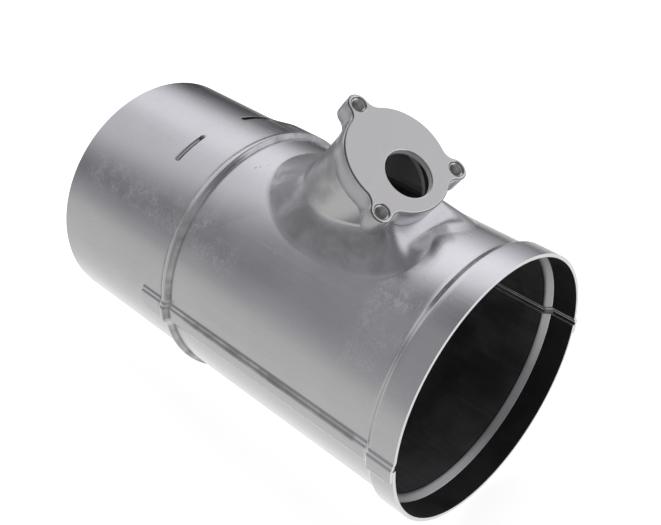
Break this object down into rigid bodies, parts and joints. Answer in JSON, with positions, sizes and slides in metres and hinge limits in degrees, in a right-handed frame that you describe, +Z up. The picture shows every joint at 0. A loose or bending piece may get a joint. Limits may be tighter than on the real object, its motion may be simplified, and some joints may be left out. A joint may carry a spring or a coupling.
{
  "type": "exhaust decomposition tube",
  "caption": "Stamped exhaust tube with a tilted, flanged injector neck, a slip-on inlet collar, a stop bead and a swirl mixer near its outlet.",
  "frame": {"origin": "centre of the tube's outlet end", "axes": "+X along the tube axis from the outlet to the inlet collar, +Z up to the side of the injector neck, +Y completing a right-handed frame"},
  "size_m": [0.276, 0.1624, 0.2119],
  "materials": {
    "shell_steel": "satin",
    "flange_steel": "satin",
    "weld_steel": "satin",
    "mixer_steel": "satin"
  },
  "bodies": {
    "root": {"upper_shell": "shell_steel", "lower_shell": "shell_steel", "injector_flange": "flange_steel", "seam_weld_front": "weld_steel", "seam_weld_rear": "weld_steel", "mixer_ring": "mixer_steel", "mixer_hub": "mixer_steel", "vane_1": "mixer_steel", "vane_2": "mixer_steel", "vane_3": "mixer_steel", "vane_4": "mixer_steel", "vane_5": "mixer_steel", "vane_6": "mixer_steel", "vane_7": "mixer_steel", "vane_8": "mixer_steel", "vane_9": "mixer_steel", "vane_10": "mixer_steel", "vane_11": "mixer_steel", "vane_12": "mixer_steel"}
  },
  "joints": []
}
